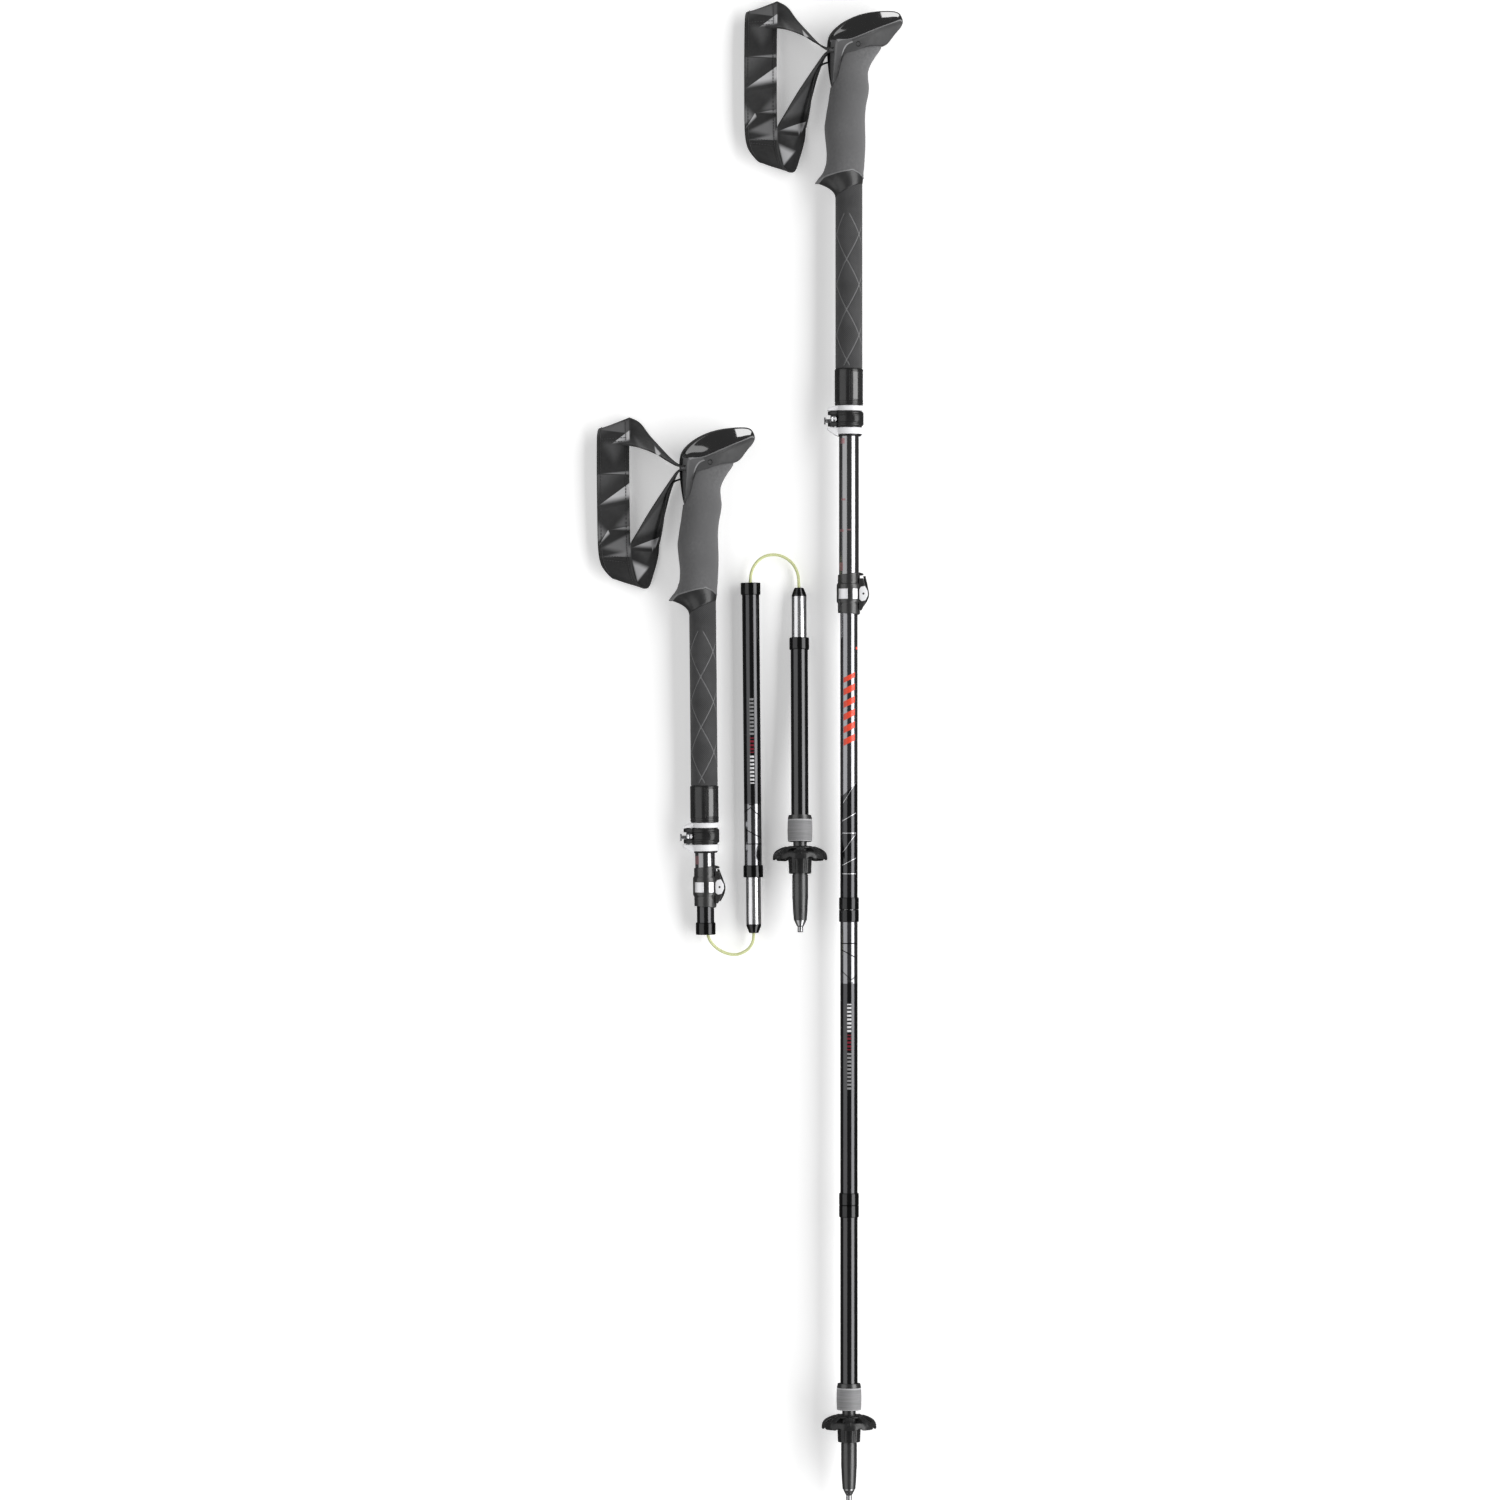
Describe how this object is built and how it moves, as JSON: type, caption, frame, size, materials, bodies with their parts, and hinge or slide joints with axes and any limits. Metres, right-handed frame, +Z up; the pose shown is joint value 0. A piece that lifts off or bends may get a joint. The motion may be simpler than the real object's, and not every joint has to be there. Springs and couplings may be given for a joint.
{
  "type": "trekking poles",
  "caption": "Folding and telescoping trekking poles lying flat, one opened and one folded, with beaked grips, wrist straps, lever clamps, rocker locks, baskets and sprung tips.",
  "frame": {"origin": "centre of the bounding box of the poles without the cord loops, on the surface that they lie on", "axes": "+Y along the poles, from the tips to the grips; +Z up, away from the surface; +X from the folded pole to the opened one"},
  "size_m": [0.2484, 1.2146, 0.0449],
  "materials": {
    "grip_gloss": "glossy black",
    "grip_foam": "soft mid-grey foam",
    "extension_foam": "dark grey foam",
    "webbing": "woven black webbing with a grey print",
    "alloy_black": "black anodised",
    "alloy_grey": "dark grey anodised",
    "alloy_bright": "bright satin",
    "plastic_black": "black",
    "plastic_light": "light satin",
    "plastic_grey": "light grey matt",
    "steel": "bright steel",
    "carbide": "ground hard metal",
    "cord": "pale yellow-green braid"
  },
  "bodies": {
    "open_handle": {"open_grip_frame": "grip_gloss", "open_grip_foam": "grip_foam", "open_wrist_strap": "webbing", "open_strap_lock": "steel", "open_extension_foam": "extension_foam", "open_handle_tube": "alloy_black", "open_clamp_sleeve": "plastic_black", "open_clamp_band": "plastic_light", "open_clamp_screw": "steel"},
    "open_lever": {"open_clamp_lever": "plastic_black"},
    "open_upper": {"open_upper_shaft": "alloy_grey", "open_lock_body": "plastic_black", "open_lock_plates": "steel"},
    "open_rocker": {"open_lock_rocker": "plastic_black"},
    "open_shaft_a": {"open_shaft_a": "alloy_grey", "open_shaft_a_collar": "alloy_black"},
    "open_shaft_b": {"open_shaft_b": "alloy_grey", "open_shaft_b_spigot": "alloy_bright", "open_shaft_b_fittings": "alloy_black"},
    "open_shaft_c": {"open_shaft_c": "alloy_black", "open_shaft_c_spigot": "alloy_bright", "open_shaft_c_fittings": "alloy_black", "open_shock_housing": "plastic_black", "open_shock_ring": "plastic_grey", "open_shock_spring": "steel"},
    "open_tip": {"open_flex_tip": "plastic_black", "open_basket": "plastic_black", "open_carbide_tip": "carbide"},
    "folded_handle": {"folded_grip_frame": "grip_gloss", "folded_grip_foam": "grip_foam", "folded_wrist_strap": "webbing", "folded_strap_lock": "steel", "folded_extension_foam": "extension_foam", "folded_handle_tube": "alloy_black", "folded_clamp_sleeve": "plastic_black", "folded_clamp_band": "plastic_light", "folded_clamp_screw": "steel"},
    "folded_lever": {"folded_clamp_lever": "plastic_black"},
    "folded_upper": {"folded_upper_shaft": "alloy_grey", "folded_lock_body": "plastic_black", "folded_lock_plates": "steel"},
    "folded_rocker": {"folded_lock_rocker": "plastic_black"},
    "folded_shaft_a": {"folded_shaft_a": "alloy_grey", "folded_shaft_a_collar": "alloy_black", "folded_cord_lower": "cord"},
    "folded_shaft_b": {"folded_shaft_b": "alloy_grey", "folded_shaft_b_spigot": "alloy_bright", "folded_shaft_b_fittings": "alloy_black", "folded_cord_upper": "cord"},
    "folded_shaft_c": {"folded_shaft_c": "alloy_black", "folded_shaft_c_spigot": "alloy_bright", "folded_shaft_c_fittings": "alloy_black", "folded_shock_housing": "plastic_black", "folded_shock_ring": "plastic_grey", "folded_shock_spring": "steel"},
    "folded_tip": {"folded_flex_tip": "plastic_black", "folded_basket": "plastic_black", "folded_carbide_tip": "carbide"}
  },
  "joints": [
    {"name": "open_lever_hinge", "type": "hinge", "parent": "open_handle", "child": "open_lever", "pos_m": [0.0666, 0.26796, 0.02156], "axis": [0, -1, 0.0047], "range_deg": [0, 110]},
    {"name": "open_length_slide", "type": "slide", "parent": "open_handle", "child": "open_upper", "axis": [0, 1, -0.0047], "range_m": [-0.11, 0.105]},
    {"name": "open_rocker_hinge", "type": "hinge", "parent": "open_upper", "child": "open_rocker", "pos_m": [0.0917, 0.12645, 0.01922], "axis": [0, -0.0047, -1], "range_deg": [-8, 0]},
    {"name": "open_lower_slide", "type": "slide", "parent": "open_upper", "child": "open_shaft_a", "axis": [0, 1, -0.0047], "range_m": [0, 0.2165]},
    {"name": "open_b_pull", "type": "slide", "parent": "open_shaft_a", "child": "open_shaft_b", "axis": [0, -1, 0.0047], "range_m": [0, 0.046]},
    {"name": "open_c_pull", "type": "slide", "parent": "open_shaft_b", "child": "open_shaft_c", "axis": [0, -1, 0.0047], "range_m": [0, 0.0415]},
    {"name": "open_tip_spring", "type": "slide", "parent": "open_shaft_c", "child": "open_tip", "axis": [0, 1, -0.0047], "range_m": [0, 0.003], "stiffness_N_per_m": 8000, "deforming": ["open_shock_spring"]},
    {"name": "folded_pole_apart", "type": "slide", "parent": "open_handle", "child": "folded_handle", "axis": [-1, 0, 0], "range_m": [0, 0.25]},
    {"name": "folded_lever_hinge", "type": "hinge", "parent": "folded_handle", "child": "folded_lever", "pos_m": [-0.05017, -0.0697, 0.01482], "axis": [0.0096, -0.9998, -0.0178], "range_deg": [0, 110]},
    {"name": "folded_length_slide", "type": "slide", "parent": "folded_handle", "child": "folded_upper", "axis": [0.0096, -0.9998, -0.0178], "range_m": [-0.008, 0.2106]},
    {"name": "folded_rocker_hinge", "type": "hinge", "parent": "folded_upper", "child": "folded_rocker", "pos_m": [-0.02467, -0.1109, 0.01109], "axis": [0, 0.0178, -0.9998], "range_deg": [0, 8]},
    {"name": "folded_lower_slide", "type": "slide", "parent": "folded_upper", "child": "folded_shaft_a", "axis": [0.0096, -0.9998, -0.0178], "range_m": [0, 0.2165]},
    {"name": "folded_b_fold", "type": "hinge", "parent": "folded_shaft_a", "child": "folded_shaft_b", "pos_m": [0, -0.1645, 0.018], "axis": [1, 0, 0], "range_deg": [0, 173]},
    {"name": "folded_c_fold", "type": "hinge", "parent": "folded_shaft_b", "child": "folded_shaft_c", "pos_m": [0, 0.1458, 0.014], "axis": [-1, 0, 0], "range_deg": [0, 175]},
    {"name": "folded_tip_spring", "type": "slide", "parent": "folded_shaft_c", "child": "folded_tip", "axis": [-0.0033, 0.9973, -0.0732], "range_m": [0, 0.003], "stiffness_N_per_m": 8000, "deforming": ["folded_shock_spring"]}
  ]
}
